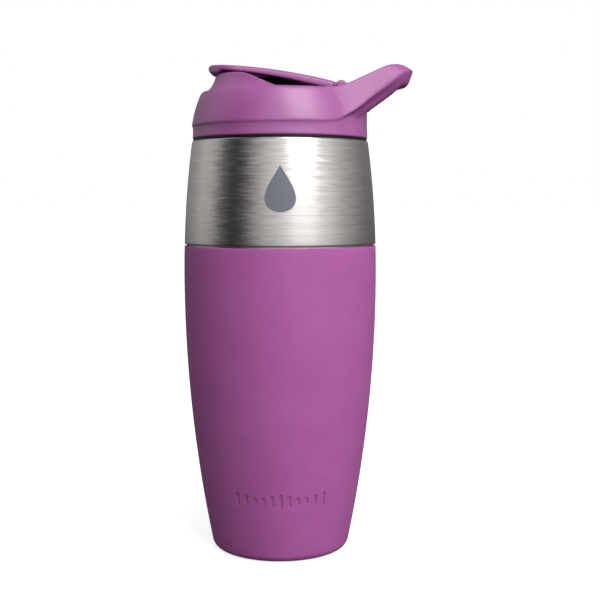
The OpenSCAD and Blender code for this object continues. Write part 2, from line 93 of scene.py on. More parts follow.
def flank_r(z):
    """Outside radius of the flask: two arcs that meet upright at the belly."""
    rho = low_rho if z < belly_z else high_rho
    return body_r - rho + math.sqrt(rho ** 2 - (z - belly_z) ** 2)


print(f"flask {2 * body_r:.0f} mm across, steel rim at {body_h:.1f} mm")

# %% [markdown]
# ## Outlines
# A turned piece needs only half a section. Straight runs are two points, and round corners come
# from one small arc function, as a draughtsman would draw them.

# %% Outline helpers
def arc(x, z, radius, start, end, steps=8):
    turns = [math.radians(start + (end - start) * i / steps) for i in range(steps + 1)]
    return [(x + radius * math.cos(a), z + radius * math.sin(a)) for a in turns]


def flank(z_from, z_to, inset=0.0, steps=40):
    heights = [z_from + (z_to - z_from) * i / steps for i in range(steps + 1)]
    return [(flank_r(z) - inset, z) for z in heights]


def foot(z, inset, radius, steps=10):
    """Rounded corner between a flat floor at height z and the flank."""
    lean = math.asin((belly_z - z) / low_rho)
    touch = z + radius * (1 - math.sin(lean))
    centre = flank_r(touch) - inset - radius * math.cos(lean)
    return arc(centre, z + radius, radius, -90, -math.degrees(lean), steps)


def foot_top(z, radius):
    return z + radius * (1 - math.sin(math.asin((belly_z - z) / low_rho)))


def smooth(u):
    c = min(max(u, 0.0), 1.0)
    return c * c * (3 - 2 * c)


def soft(u, k):
    """0 well below zero and u well above it, with a round bend between."""
    return (u + math.sqrt(u * u + k * k)) / 2


# %% [markdown]
# ## Turning a section into a solid
# `bmesh.ops.spin` does what a lathe does. The last copy is merged with the first, doubles on the
# axis are welded, and normals are recalculated once the shape is closed, because a spin can
# come out inside out.

# %% Mesh helpers
def closed_outline(bm, points):
    verts = [bm.verts.new((x, 0.0, z)) for x, z in points]
    return verts + [bm.edges.new((a, b)) for a, b in zip(verts, verts[1:] + verts[:1])]


def turn(bm, points, steps=192):
    geom = closed_outline(bm, points)
    bmesh.ops.spin(bm, geom=geom, cent=(0, 0, 0), axis=(0, 0, 1), dvec=(0, 0, 0),
                   angle=2 * math.pi, steps=steps, use_merge=True)
    bmesh.ops.remove_doubles(bm, verts=bm.verts, dist=1e-4)
    bmesh.ops.dissolve_degenerate(bm, dist=1e-5, edges=bm.edges)
    bmesh.ops.recalc_face_normals(bm, faces=bm.faces)


def finish_mesh(bm, name, sharp_degrees=35):
    """Millimetres to metres, smooth shading, and hard edges where the shape has them."""
    bmesh.ops.scale(bm, vec=(MM, MM, MM), verts=bm.verts)
    for face in bm.faces:
        face.smooth = True
    mesh = bpy.data.meshes.new(name)
    bm.to_mesh(mesh)
    bm.free()
    if sharp_degrees:
        mesh.set_sharp_from_angle(angle=math.radians(sharp_degrees))
    piece = bpy.data.objects.new(name, mesh)
    bpy.context.collection.objects.link(piece)
    return piece


def settle(piece):
    """Applies a piece's modifiers, so that its mesh is what is seen."""
    graph = bpy.context.evaluated_depsgraph_get()
    done = bpy.data.meshes.new_from_object(piece.evaluated_get(graph))
    old = piece.data
    piece.modifiers.clear()
    piece.data = done
    bpy.data.meshes.remove(old)


def place(piece, body, material, slot, *nodes):
    """Gives a piece its finish and its body, and says which CAD nodes it stands for."""
    piece.data.materials.clear()
    piece.data.materials.append(material)
    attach(piece, body)
    if nodes:
        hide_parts(*nodes)
    print(f"{piece.name}: {len(piece.data.polygons)} faces, rides on {body}")


# %% [markdown]
# ## Materials
# Each finish starts from what the real surface is and how it was made. Colours are written as
# they would be picked from a swatch (sRGB hex) and made linear by one function. One function
# adds a node, sets its inputs and wires them.

# %% Material helpers
def colour(code):
    channels = [int(code[i:i + 2], 16) / 255 for i in (1, 3, 5)]
    linear = [c / 12.92 if c <= 0.04045 else ((c + 0.055) / 1.055) ** 2.4 for c in channels]
    return (*linear, 1.0)


def add(tree, kind, settings=None, **inputs):
    """Adds a node. Its inputs go by name, or by number as i0, i1 and so on."""
    node = tree.nodes.new(kind)
    for key, value in (settings or {}).items():
        setattr(node, key, value)
    for key, value in inputs.items():
        numbered = key[0] == "i" and key[1:].isdigit()
        socket = node.inputs[int(key[1:]) if numbered else key.replace("_", " ")]
        if isinstance(value, bpy.types.NodeSocket):
            tree.links.new(value, socket)
        else:
            socket.default_value = value
    return node


def new_material(name):
    material = bpy.data.materials.new(name)
    material.use_nodes = True
    tree = material.node_tree
    tree.nodes.clear()
    output = tree.nodes.new("ShaderNodeOutputMaterial")
    where = add(tree, "ShaderNodeTexCoord").outputs["Object"]
    return material, tree, output, where


def ramp(tree, factor, low, high, low_at=0.0, high_at=1.0):
    node = add(tree, "ShaderNodeValToRGB", i0=factor)
    ends = node.color_ramp.elements
    ends[0].position, ends[0].color = low_at, low
    ends[1].position, ends[1].color = high_at, high
    return node.outputs["Color"]


def per_metre(size_mm):
    """Noise scale whose cells are about the given size."""
    return 1000.0 / size_mm


# %% [markdown]
# ### Soft sleeve: moulded silicone with a soft-touch coat
# The sleeve is a dip-coated silicone. Under a soft light it reads as a deep orchid with almost no
# gloss, a faint velvety lift where the surface turns away, and a very fine pebble that breaks
# up the highlight. The pebble is drawn at 0.35 mm, coarser than the real one, so that it shows.

# %% Soft-touch silicone
def soft_touch_silicone():
    material, tree, output, where = new_material("soft_touch_silicone")
    cloud = add(tree, "ShaderNodeTexNoise", Vector=where, Scale=per_metre(18), Detail=4.0)
    pebble = add(tree, "ShaderNodeTexNoise", Vector=where, Scale=per_metre(0.35), Detail=2.0)
    tint = ramp(tree, cloud.outputs["Fac"], colour("#b55fa7"), colour("#ba64ac"), 0.35, 0.65)
    speckle = ramp(tree, pebble.outputs["Fac"], colour("#f2eef2"), colour("#ffffff"), 0.3, 0.6)
    base = add(tree, "ShaderNodeMix", {"data_type": "RGBA", "blend_type": "MULTIPLY"},
               i0=1.0, i6=tint, i7=speckle)
    rough = add(tree, "ShaderNodeMapRange", Value=cloud.outputs["Fac"], To_Min=0.62, To_Max=0.7)
    bump = add(tree, "ShaderNodeBump", Strength=0.12, Distance=0.00012,
               Height=pebble.outputs["Fac"])
    shader = add(tree, "ShaderNodeBsdfPrincipled", Base_Color=base.outputs[2],
                 Roughness=rough.outputs[0], IOR=1.4, Sheen_Weight=0.04, Sheen_Roughness=0.4,
                 Normal=bump.outputs[0])
    tree.links.new(shader.outputs[0], output.inputs["Surface"])
    return material


# %% [markdown]
# ### Lid: injection-moulded polypropylene, spark-eroded mould
# The lid and the cap share one plastic. The mould's spark-eroded face leaves an even satin that
# spreads a softbox into a pale, wide glow, so it looks lighter and silkier than the sleeve. A
# little light gets into polypropylene, which softens the shading.

# %% Satin polypropylene
def satin_polypropylene(name, dark, light, roughness):
    material, tree, output, where = new_material(name)
    cloud = add(tree, "ShaderNodeTexNoise", Vector=where, Scale=per_metre(14), Detail=3.0)
    spark = add(tree, "ShaderNodeTexNoise", Vector=where, Scale=per_metre(0.25), Detail=3.0)
    base = ramp(tree, cloud.outputs["Fac"], colour(dark), colour(light), 0.35, 0.65)
    rough = add(tree, "ShaderNodeMapRange", Value=spark.outputs["Fac"],
                To_Min=roughness - 0.05, To_Max=roughness + 0.05)
    bump = add(tree, "ShaderNodeBump", Strength=0.1, Distance=0.00008,
               Height=spark.outputs["Fac"])
    shader = add(tree, "ShaderNodeBsdfPrincipled", Base_Color=base, Roughness=rough.outputs[0],
                 IOR=1.49, Specular_IOR_Level=0.8, Subsurface_Weight=0.06,
                 Subsurface_Radius=(0.0012, 0.0006, 0.0011), Normal=bump.outputs[0])
    tree.links.new(shader.outputs[0], output.inputs["Surface"])
    return material


# %% [markdown]
# ### Band: 304 stainless steel, belt-brushed round the bottle
# The belt leaves scratches that run round the band. They hold a reflection sharp from side to
# side and smear it up and down, so each softbox becomes an upright stripe. The scratch pattern
# is noise squeezed to 0.12 mm in height and drawn out along the band, and the smear itself is
# the shader's anisotropy, along the piece's own UV map.

# %% Brushed steel
def brushed_steel(name, tone, roughness, anisotropy, scratch, wander):
    material, tree, output, where = new_material(name)
    fine = add(tree, "ShaderNodeMapping", Vector=where,
               Scale=(per_metre(60), per_metre(60), per_metre(0.22)))
    broad = add(tree, "ShaderNodeMapping", Vector=where,
                Scale=(per_metre(90), per_metre(90), per_metre(1.3)))
    hair = add(tree, "ShaderNodeTexNoise", Vector=fine.outputs[0], Scale=1.0, Detail=3.0,
               Roughness=0.6)
    band = add(tree, "ShaderNodeTexNoise", Vector=broad.outputs[0], Scale=1.0, Detail=2.0)
    mixed = add(tree, "ShaderNodeMath", {"operation": "MULTIPLY_ADD"}, i0=band.outputs["Fac"],
                i1=0.35, i2=hair.outputs["Fac"])
    base = ramp(tree, mixed.outputs[0], colour(tone[0]), colour(tone[1]), 0.4, 0.95)
    rough = add(tree, "ShaderNodeMapRange", Value=mixed.outputs[0], From_Min=0.3, From_Max=1.0,
                To_Min=roughness - 0.05, To_Max=roughness + 0.06)
    strokes = add(tree, "ShaderNodeMapping", Vector=where,
                  Scale=(per_metre(9), per_metre(9), per_metre(0.5)))
    swerve = add(tree, "ShaderNodeTexNoise", Vector=strokes.outputs[0], Scale=1.0, Detail=3.0)
    centred = add(tree, "ShaderNodeVectorMath", {"operation": "SUBTRACT"},
                  i0=swerve.outputs["Color"], i1=(0.5, 0.5, 0.5))
    sideways = add(tree, "ShaderNodeVectorMath", {"operation": "MULTIPLY"},
                   i0=centred.outputs[0], i1=(wander, wander, 0.0))
    facing = add(tree, "ShaderNodeNewGeometry").outputs["Normal"]
    turned = add(tree, "ShaderNodeVectorMath", {"operation": "ADD"}, i0=facing,
                 i1=sideways.outputs[0])
    unit = add(tree, "ShaderNodeVectorMath", {"operation": "NORMALIZE"}, i0=turned.outputs[0])
    bump = add(tree, "ShaderNodeBump", Strength=scratch, Distance=0.00003,
               Height=hair.outputs["Fac"], Normal=unit.outputs[0])
    along = add(tree, "ShaderNodeTangent", {"direction_type": "UV_MAP", "uv_map": "around"})
    shader = add(tree, "ShaderNodeBsdfPrincipled", Base_Color=base, Metallic=1.0,
                 Roughness=rough.outputs[0], Anisotropic=anisotropy, Anisotropic_Rotation=0.25,
                 Normal=bump.outputs[0], Tangent=along.outputs[0])
    tree.links.new(shader.outputs[0], output.inputs["Surface"])
    return material


# %% [markdown]
# ### Small finishes
# The gasket, the stopper and the valve are black silicone. The pin is drawn wire with a
# polished skin. The getter and the glass bead are hidden but still get their own finish.

# %% Small finishes
def plain_finish(name, dark, light, roughness, grain_mm, metallic=0.0, ior=1.45):
    material, tree, output, where = new_material(name)
    grain = add(tree, "ShaderNodeTexNoise", Vector=where, Scale=per_metre(grain_mm), Detail=3.0)
    base = ramp(tree, grain.outputs["Fac"], colour(dark), colour(light), 0.3, 0.7)
    rough = add(tree, "ShaderNodeMapRange", Value=grain.outputs["Fac"],
                To_Min=roughness - 0.05, To_Max=roughness + 0.05)
    bump = add(tree, "ShaderNodeBump", Strength=0.1, Distance=0.00005,
               Height=grain.outputs["Fac"])
    shader = add(tree, "ShaderNodeBsdfPrincipled", Base_Color=base, Metallic=metallic,
                 Roughness=rough.outputs[0], IOR=ior, Normal=bump.outputs[0])
    tree.links.new(shader.outputs[0], output.inputs["Surface"])
    return material


sleeve_finish = soft_touch_silicone()
lid_finish = satin_polypropylene("satin_polypropylene_orchid", "#a85a9d", "#ae60a3", 0.36)
plug_finish = satin_polypropylene("satin_polypropylene_black", "#0b0a0c", "#100f12", 0.5)
grid_finish = satin_polypropylene("satin_polypropylene_white", "#d9d8d2", "#e4e3de", 0.45)
band_finish = brushed_steel("belt_brushed_stainless", ("#b9b4b3", "#dcd7d5"), 0.27, 0.75, 0.3, 0.28)
liner_finish = brushed_steel("spun_stainless", ("#a9a7a5", "#c4c1be"), 0.26, 0.4, 0.1, 0.02)
silicone_finish = plain_finish("black_silicone", "#070608", "#0d0c0e", 0.5, 0.6, ior=1.41)
pin_finish = plain_finish("drawn_stainless_pin", "#b5b2b0", "#d2cfcc", 0.22, 1.5, 1.0, 1.5)
print_finish = plain_finish("pad_printed_slate_ink", "#6f717d", "#787a86", 0.55, 0.5, ior=1.5)
glass_finish = plain_finish("sealing_glass", "#2f3b40", "#3a484e", 0.15, 2.0, ior=1.52)
getter_finish = plain_finish("pressed_getter_alloy", "#5f5f63", "#77777b", 0.6, 0.4, 1.0, 1.5)
print("materials:", len(bpy.data.materials))

# %% [markdown]
# ## Sleeve
# The sleeve is one turned wall with a rounded upper edge that catches the light, and it wraps
# the foot. The underside keeps a flat island to stand on, inside a shallow ring groove. A row of
# rounded bars, like a level gauge, is pressed into the front; they are cut with a Boolean,
# because a real debossed mark has walls and a floor.

# %% Sleeve body
def sleeve_section():
    lip = 0.5
    top_r = flank_r(sleeve_h)
    ring_groove = [(19.8, 0.0), (20.1, 0.55), (20.5, 0.6), (21.5, 0.6), (21.9, 0.55), (22.2, 0.0)]
    outer = foot(0, 0, foot_fillet, 14) + flank(foot_top(0, foot_fillet), sleeve_h - lip, 0, 70)
    rim = arc(top_r - lip, sleeve_h - lip, lip, 0, 90, 6)
    inner = flank(foot_top(sleeve_floor, foot_fillet), sleeve_h - 0.3, sleeve_wall, 30)[::-1]
    floor = foot(sleeve_floor, sleeve_wall, foot_fillet, 6)[::-1]
    return [(0.0, 0.0)] + ring_groove + outer[:-1] + rim + inner + floor + [(0.0, sleeve_floor)]


bm = bmesh.new()
turn(bm, sleeve_section(), 256)
sleeve = finish_mesh(bm, "sleeve_soft_touch")

# %% Debossed bars
bar_count = 11
bar_step = 3.95
bar_z = 31.4
bar_w = 1.9
bar_depth = 0.55
cutter_reach = 6
shortest_bar = 3.4
bar_swing = 3.6
bars_per_wave = 5.2


def bar_cutter(bm, x, tall):
    """A rounded bar that reaches through the wall's outer half millimetre."""
    surface_y = -math.sqrt(flank_r(bar_z) ** 2 - x ** 2)
    ring = bmesh.ops.create_circle(bm, segments=20, radius=bar_w / 2, cap_ends=True)["verts"]
    stretch = tall / 2 - bar_w / 2
    for v in ring:
        lift = math.copysign(stretch, v.co.y) if abs(v.co.y) > 1e-6 else 0.0
        v.co = Vector((v.co.x, 0, v.co.y + lift))
    face = next(f for f in bm.faces if ring[0] in f.verts)
    grown = bmesh.ops.extrude_face_region(bm, geom=[face])["geom"]
    far = [v for v in grown if isinstance(v, bmesh.types.BMVert)]
    bmesh.ops.translate(bm, vec=(0, -cutter_reach, 0), verts=far)
    lean = math.asin((belly_z - bar_z) / low_rho)
    onto_wall = (Matrix.Translation((x, surface_y + bar_depth, bar_z))
                 @ Matrix.Rotation(-math.asin(x / surface_y), 4, "Z")
                 @ Matrix.Rotation(lean, 4, "X"))
    bmesh.ops.transform(bm, matrix=onto_wall, verts=ring + far)


bm = bmesh.new()
for i in range(bar_count):
    offset = i - (bar_count - 1) / 2
    wave = math.cos(offset * math.pi / bars_per_wave) ** 2
    bar_cutter(bm, offset * bar_step, shortest_bar + bar_swing * wave)
bmesh.ops.recalc_face_normals(bm, faces=bm.faces)
cutter = finish_mesh(bm, "bar_cutter", 0)
cut = sleeve.modifiers.new("bars", "BOOLEAN")
cut.operation, cut.object, cut.solver = "DIFFERENCE", cutter, "EXACT"
settle(sleeve)
bpy.data.objects.remove(cutter)
sleeve.data.set_sharp_from_angle(angle=math.radians(35))
place(sleeve, "bottle", sleeve_finish, "soft_sleeve", "grip_sleeve")

# %% [markdown]
# ## Steel band and outer wall
# The bare band is a little barrel. Its upper edge rolls over the mouth and its lower edge is a
# rolled bead that stands over a groove, which shows as a bright and a dark line above the
# sleeve. The wall then steps in and goes down under the sleeve. A UV map whose U runs round
# the wall tells the shader which way the brushing goes.

# %% Band
mouth_bore = 39.25


def shell_section():
    band_low = sleeve_h + groove
    inset = sleeve_wall + 0.05
    wall_low = foot_top(sleeve_floor, foot_fillet) + 1.5
    roll = sheet
    bead_r = flank_r(band_low + roll)
    outer = flank(wall_low, sleeve_h, inset, 30) + [(flank_r(band_low) - inset, band_low)]
    bead = arc(bead_r - roll, band_low + roll, roll, -90, 0, 8)
    band = flank(band_low + 2 * roll, body_h - roll, 0, 40)
    lip = arc(flank_r(body_h) - roll, body_h - roll, roll, 8, 90, 8)
    mouth = [(mouth_bore, body_h), (mouth_bore, body_h - sheet)]
    back = flank(band_low + 2 * roll, body_h - sheet, sheet, 20)[::-1]
    step = [(flank_r(band_low) - inset - sheet, band_low + sheet)]
    inner = flank(wall_low, sleeve_h, inset + sheet, 20)[::-1]
    return outer + bead + band + lip + mouth + back + step + inner


def unwrap_around(piece):
    """U goes once round the piece and V goes up it."""
    mesh = piece.data
    layer = mesh.uv_layers.new(name="around")
    for face in mesh.polygons:
        middle = math.atan2(face.center.y, face.center.x)
        for corner in face.loop_indices:
            co = mesh.vertices[mesh.loops[corner].vertex_index].co
            turn_by = math.atan2(co.y, co.x) - middle
            turn_by -= 2 * math.pi * round(turn_by / (2 * math.pi))
            layer.data[corner].uv = ((middle + turn_by) / (2 * math.pi), co.z * 4)


bm = bmesh.new()
turn(bm, shell_section(), 256)
band = finish_mesh(bm, "band_and_outer_wall")
unwrap_around(band)
place(band, "bottle", band_finish, "brushed_steel", "outer_shell")

# %% [markdown]
# ## Printed droplet
# A plain droplet is printed on the band in slate ink. It starts as a circle whose points are
# moved to a droplet outline, is filled inwards by extruding and scaling its edge, and is then
# bent onto the band a hair above the steel.

# %% Droplet
drop_z = 176.5
drop_half = 8.8
drop_wide = 1.15
drop_tall = 1.22
drop_heart = 0.35
ink = 0.05


def droplet_print():
    bm = bmesh.new()
    rings = 10
    edge = bmesh.ops.create_circle(bm, segments=96, radius=1.0)["verts"]
    for v in edge:
        t = math.atan2(v.co.x, v.co.y)
        v.co = Vector((math.sin(t) * math.sin(abs(t) / 2) ** 1.5, 0, math.cos(t) * drop_tall))
    border = list(bm.edges)
    for i in range(rings, 1, -1):
        grown = bmesh.ops.extrude_edge_only(bm, edges=border)["geom"]
        inner = [g for g in grown if isinstance(g, bmesh.types.BMVert)]
        shrink = (i - 1) / i
        for v in inner:
            v.co = Vector((v.co.x * shrink, 0, (v.co.z + drop_heart) * shrink - drop_heart))
        border = [g for g in grown if isinstance(g, bmesh.types.BMEdge)
                  and all(v in inner for v in g.verts)]
    bmesh.ops.contextual_create(bm, geom=border)
    for v in bm.verts:
        x, z = v.co.x * drop_half * drop_wide, drop_z + v.co.z * drop_half
        radius = flank_r(z) + 0.01
        v.co = Vector((radius * math.sin(x / radius), -radius * math.cos(x / radius), z))
    bmesh.ops.recalc_face_normals(bm, faces=bm.faces)
    bmesh.ops.solidify(bm, geom=bm.faces[:], thickness=-ink)
    bmesh.ops.recalc_face_normals(bm, faces=bm.faces)
    return finish_mesh(bm, "printed_droplet", 40)


place(droplet_print(), "bottle", print_finish, "plug_plastic")

# %% [markdown]
# ## Screw threads
# Both threads are two ridges that climb 8 mm a turn. A ridge is a four-cornered section swept by
# `spin`, which can also lift each copy, so it makes a true helix. Its ends fade into the wall.

# %% Thread ridges
lead = 8.0
ridge_turns = 0.85
ridge_steps = 82
ridge_depth = 1.4
ridge_root = 0.35
fade_steps = 5
thread_low = plug_low.z + 1.6
thread_engaged = 2.0


def add_ridge(bm, wall_r, outward, low_z, start):
    side = 1 if outward else -1
    section = [(-ridge_root, -0.8), (ridge_depth - 0.15, -0.45), (ridge_depth, -0.3),
               (ridge_depth, 0.3), (ridge_depth - 0.15, 0.45), (-ridge_root, 0.8)]
    verts = [bm.verts.new((wall_r + side * x, 0, low_z + z)) for x, z in section]
    first = bm.faces.new(verts)
    before = set(bm.verts)
    bmesh.ops.spin(bm, geom=[first], cent=(0, 0, 0), axis=(0, 0, 1),
                   dvec=(0, 0, lead * ridge_turns / ridge_steps),
                   angle=2 * math.pi * ridge_turns, steps=ridge_steps, use_merge=False)
    made = [v for v in bm.verts if v not in before] + verts
    for v in made:
        step_at = (v.co.z - low_z) / lead / ridge_turns
        fade = smooth(min(step_at, 1 - step_at) * ridge_steps / fade_steps)
        flat = math.hypot(v.co.x, v.co.y)
        new = wall_r + (flat - wall_r) * max(fade, 0.05) if side * (flat - wall_r) > 0 else flat
        v.co.x, v.co.y = v.co.x * new / flat, v.co.y * new / flat
    bmesh.ops.rotate(bm, cent=(0, 0, 0), matrix=Matrix.Rotation(start, 3, "Z"), verts=made)


# %% [markdown]
# ## Liner
# The inner vessel is spun from thinner sheet. Its neck is straight and carries the female
# thread; the ridge ends are what is seen when the lid is off.

# %% Liner
neck_r = 38.5
liner_wall = 0.7
liner_inset = 5.65
shoulder_drop = 24
neck_drop = 14


def liner_face(grow):
    floor_z = liner_low.z + liner_wall - grow
    corner = 9.0 + grow
    inset = liner_inset + liner_wall - grow
    return (foot(floor_z, inset, corner, 10)
            + flank(foot_top(floor_z, corner), body_h - shoulder_drop, inset, 40)
            + [(neck_r + grow, body_h - neck_drop)])


bm = bmesh.new()
turn(bm, [(0, liner_low.z)] + liner_face(liner_wall)
     + [(neck_r + liner_wall, body_h - 0.1), (neck_r + liner_wall - 0.15, body_h),
        (neck_r + 0.2, body_h), (neck_r, body_h - 0.2)]
     + liner_face(0)[::-1] + [(0, liner_low.z + liner_wall)], 192)
for i in range(2):
    add_ridge(bm, neck_r, False, thread_low + thread_engaged, math.pi * i)
bmesh.ops.recalc_face_normals(bm, faces=bm.faces)
liner = finish_mesh(bm, "liner_with_thread")
unwrap_around(liner)
place(liner, "bottle", liner_finish, "liner_steel", "inner_liner")

# %% [markdown]
# ## Gasket
# A flat silicone ring with rounded edges parts the lid from the steel. It shows as the thin
# black line under the lid.

# %% Gasket
gasket_low, gasket_high = corners("lid_gasket")
bm = bmesh.new()
edge_r = 0.3
outer_x, inner_x = gasket_high.x - edge_r, neck_r + 0.3 + edge_r
under_z, over_z = gasket_low.z + edge_r, gasket_high.z - edge_r
turn(bm, arc(outer_x, under_z, edge_r, -90, 0, 3) + arc(outer_x, over_z, edge_r, 0, 90, 3)
     + arc(inner_x, over_z, edge_r, 90, 180, 3) + arc(inner_x, under_z, edge_r, 180, 270, 3), 160)
place(finish_mesh(bm, "gasket_ring"), "lid_seal", silicone_finish, "silicone", "lid_gasket")

# %% [markdown]
# ## Lid
# The lid is one moulding: a leaning wall over a low band, a collar round the spout, two hinge
# lugs and a loop that grows out of the wall like a strap. Real mouldings have no hard inner
# corners, so the parts are made separately, fused by a voxel remesh at about half a
# millimetre, and relaxed, which leaves the soft fillets of a mould.

# %% Lid sizes
lid_z = lid_low.z
lid_r = 42.5
rim_z = lid_z + 22.7
rim_r = lid_r - 4.7
well_r = rim_r - 3.6
crease_z = lid_z + 6.3
skirt_bore = lid_r - 2.6
collar_base = rim_r - 7.9
hinge_x = (pin_low.x + pin_high.x) / 2
hinge_z = (pin_low.z + pin_high.z) / 2
lid_voxel = 0.5
start_x = lid_r - 14.8
tip_r = 16.7
tip_x = lid_r + 22.4 - tip_r
loop_level = 30.6
loop_top = 35.9
lower_slope = 0.73
upper_slope = 0.54
collar_flare = 5.6
flare_fall = 5
ridge_foot_x = -2.4
ridge_slope = 0.49
ridge_rise = 7.7


def collar_at(z):
    """Outside radius of the spout collar, which flares out as it comes down to the rim."""
    return collar_base + collar_flare * math.exp(-(z - rim_z + 0.3) / flare_fall)


def lid_wall_arc():
    """The leaning wall is a shallow arc between the crease and the shoulder under the rim."""
    low = Vector((lid_r + 0.25, crease_z))
    high = Vector((rim_r + 0.7, rim_z - 1.6))
    bulge = 52.0
    chord = (high - low).length
    inward = Vector((low.y - high.y, high.x - low.x)) / chord
    centre = (low + high) / 2 + inward * math.sqrt(bulge ** 2 - chord ** 2 / 4)
    start = math.degrees(math.atan2(low.y - centre.y, low.x - centre.x))
    end = math.degrees(math.atan2(high.y - centre.y, high.x - centre.x))
    return arc(centre.x, centre.y, bulge, start, end, 16)


# %% Lid wall
def add_lid_wall(bm):
    """The turned wall, whose crease is then lifted to run on into the strap's lower edge."""
    shoulder_z = rim_z - 1.6
    band = [(lid_r - 0.3, lid_z), (lid_r - 0.05, lid_z + 0.3), (lid_r - 0.15, lid_z + 1.6),
            (lid_r - 0.25, lid_z + 3.2), (lid_r - 0.22, crease_z - 1.2), (lid_r - 0.12, crease_z - 0.4)]
    turn(bm, [(skirt_bore, lid_z)] + band
         + lid_wall_arc() + [(rim_r, rim_z - 0.6), (collar_at(rim_z) + 0.5, rim_z - 0.1)]
         + [(well_r, rim_z), (well_r, crease_z - 0.7), (skirt_bore, crease_z - 0.7)], 192)
    for v in bm.verts:
        if math.hypot(v.co.x, v.co.y) > well_r + 0.5:
            below = smooth((v.co.z - lid_z) / (crease_z - lid_z))
            above = smooth((shoulder_z - v.co.z) / (shoulder_z - crease_z))
            v.co.z += (lower_edge(v.co.x) - lower_edge(-lid_r)) * min(below, above)


# %% Spout collar
def ridge_height(x):
    """The collar's ridge climbs from the rim and levels out under the cap's tab."""
    climb = ridge_slope * soft(ridge_foot_x - x, 1.5)
    return rim_z - 1.0 + smooth(-x / 3) + ridge_rise - soft(ridge_rise - climb, 1.6)


def add_collar(bm):
    """A turned tube whose upper edge is then moved to the ridge."""
    levels, thick = 12, 2.3
    outer = [(collar_base, rim_z - 2 + i / levels) for i in range(levels + 1)]
    inner = [(collar_base - 1, z) for _, z in outer[::-1]]
    old = set(bm.verts)
    geom = closed_outline(bm, outer + inner)
    bmesh.ops.spin(bm, geom=geom, cent=(0, 0, 0), axis=(0, 0, 1), dvec=(0, 0, 0),
                   angle=2 * math.pi, steps=240, use_merge=True)
    for v in (v for v in bm.verts if v not in old):
        turn_at = math.atan2(v.co.y, v.co.x)
        share = v.co.z - rim_z + 2
        is_inner = math.hypot(v.co.x, v.co.y) < collar_base - 0.5
        top = rim_z
        for _ in range(6):
            top = ridge_height(collar_at(top) * math.cos(turn_at))
        z = rim_z - 2.5 + (top - rim_z + 2.5) * share
        radius = min(collar_at(z), rim_r - 0.8)
        if is_inner:
            radius = max(radius - thick, collar_base - 1.9 if z > rim_z else well_r - 1)
        v.co = Vector((radius * math.cos(turn_at), radius * math.sin(turn_at), z))


# %% Carry loop
tip_share = 0.45
side_share = 0.9
wrap = math.radians(14)
chin_in = 2.3
keel_in = 4.2
keel_drop = 6.0
strap_t = 5.8


def teardrop(big, tip, small, s):
    """A point of the outline round two circles, from s = -1 on one side to 1 on the other."""
    spread = math.pi / 2 - math.asin((big - small) / tip)
    a = abs(s)
    near = Vector((tip + small * math.cos(spread), small * math.sin(spread)))
    far = Vector((big * math.cos(spread), big * math.sin(spread)))
    if a < tip_share:
        turn_at = spread * a / tip_share
        point = Vector((tip + small * math.cos(turn_at), small * math.sin(turn_at)))
    elif a < side_share:
        point = near.lerp(far, (a - tip_share) / (side_share - tip_share))
    else:
        turn_at = spread + wrap * (a - side_share) / (1 - side_share)
        point = Vector((big * math.cos(turn_at), big * math.sin(turn_at)))
    return Vector((point.x, math.copysign(point.y, s)))


def lower_edge(x):
    """Height of the strap's lower edge, which leaves the crease and levels out at the tip."""
    level = lid_z + loop_level
    return level - soft(level - crease_z - lower_slope * soft(x - start_x, 5), 1.2)


def upper_edge(x):
    """Height of the strap's upper edge, which leaves the rim."""
    top = lid_z + loop_top
    return top - soft(top - rim_z - upper_slope * soft(x - start_x, 5), 1.5) - 0.3


def strap_section(s):
    """Corners of the strap at one place along the loop; its inner side hangs lower as a keel."""
    low_r, top_r = lid_r - 0.1, rim_r - 0.3
    low = teardrop(low_r, tip_x, tip_r - 0.2, s)
    to_tip = smooth((low.x - tip_x) / tip_r)
    chin = teardrop(low_r - chin_in, tip_x, tip_r - 0.2 - chin_in, s)
    keel = teardrop(low_r - keel_in, tip_x, tip_r - 0.2 - keel_in, s)
    inner = teardrop(low_r - strap_t, tip_x - 1, tip_r - strap_t, s)
    top = teardrop(top_r, tip_x - 4.4, tip_r - 0.5, s)
    top_in = teardrop(top_r - 2.8, tip_x - 4.4, tip_r - 3.8, s)
    begin = smooth((low.x - 20) / 20)
    edge = lower_edge(low.x)
    outer_low = edge + 1.3 * smooth((low.x - 34) / 12) + 1.2 * to_tip
    heights = (upper_edge(top.x), outer_low, edge - (2.2 + 2.0 * to_tip) * begin + 0.3,
               edge - keel_drop * begin + 0.3, edge - (keel_drop - 1.5) * begin + 0.6,
               upper_edge(top_in.x) - 0.6)
    return [Vector((p.x, p.y, z)) for p, z in zip((top, low, chin, keel, inner, top_in), heights)]


def add_loop(bm):
    """The strap is skinned ring by ring from one root to the other."""
    rings = 96
    ring = [bm.verts.new(p) for p in strap_section(-1)]
    bm.faces.new(ring)
    edges = [bm.edges.get((a, b)) for a, b in zip(ring, ring[1:] + ring[:1])]
    for i in range(1, rings + 1):
        grown = bmesh.ops.extrude_edge_only(bm, edges=edges)["geom"]
        edges = [g for g in grown if isinstance(g, bmesh.types.BMEdge)
                 and all(v in grown for v in g.verts)]
        fresh = [v for v in grown if isinstance(v, bmesh.types.BMVert)]
        before, after = strap_section(2 * (i - 1) / rings - 1), strap_section(2 * i / rings - 1)
        for v in fresh:
            nearest = min(range(len(before)), key=lambda k: (before[k] - v.co).length)
            v.co = after[nearest]
    bmesh.ops.contextual_create(bm, geom=edges)


# %% Hinge lugs
barrel_r = 2.6
lug_y = 8.8
leg_l = well_r - hinge_x + 1.5
leg_w = 3.0
leg_h = 5.6


